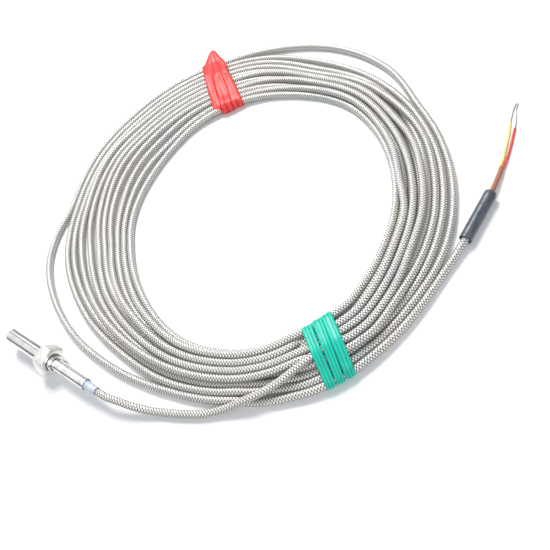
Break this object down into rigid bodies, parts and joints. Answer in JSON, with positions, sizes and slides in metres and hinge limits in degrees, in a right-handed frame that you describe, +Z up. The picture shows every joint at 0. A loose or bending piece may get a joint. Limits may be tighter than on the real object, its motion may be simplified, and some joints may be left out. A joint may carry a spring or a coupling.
{
  "type": "temperature probe",
  "caption": "Stainless pocket temperature probe with a hexagon nut and crimp tube, on a long braided lead wound into an oval hank held by flat ties, with stripped wires at its far end.",
  "frame": {"origin": "On the floor below the middle of the probe, which is the run from the closed tip to the end of the outlet sleeve, without the lead.", "axes": "+X runs along the probe from its closed tip to its lead, +Z is up, and the hank lies on the same floor on the +Y side."},
  "size_m": [0.2214, 0.2218, 0.0152],
  "materials": {
    "bright_steel": "turned stainless steel, bright, smooth",
    "nut_steel": "machined stainless steel, satin",
    "tube_steel": "polished stainless tube",
    "pale_sleeve": "thin translucent pale blue-white sleeve",
    "ceramic": null,
    "cement": "cast filling cement",
    "conductor": "bare nickel alloy wire",
    "steel_braid": "fine braided stainless wire over glass fibre",
    "dark_shrink": "dark grey heat-shrunk sleeve, slight sheen",
    "brown_jacket": "brown varnished glass fibre jacket",
    "yellow_insulation": "yellow insulation",
    "red_insulation": "red insulation",
    "red_tie": "soft coral red flat tie",
    "green_tie": "soft turquoise green ribbed flat tie"
  },
  "bodies": {
    "root": {"shank": "bright_steel", "hex_nut": "nut_steel", "crimp_tube": "tube_steel", "outlet_sleeve": "pale_sleeve", "insulator": "ceramic", "seal_plug": "cement", "hot_bead": "conductor", "core_wire_a": "conductor", "core_wire_b": "conductor", "probe_lead": "steel_braid", "coil": "steel_braid", "free_lead": "steel_braid", "end_sleeve": "dark_shrink", "inner_jacket": "brown_jacket", "yellow_wire": "yellow_insulation", "red_wire": "red_insulation", "yellow_conductor": "conductor", "red_conductor": "conductor", "red_wrap_1": "red_tie", "red_wrap_2": "red_tie", "red_wrap_3": "red_tie", "red_twist": "red_tie", "green_wrap_1": "green_tie", "green_wrap_2": "green_tie", "green_wrap_3": "green_tie"}
  },
  "joints": []
}
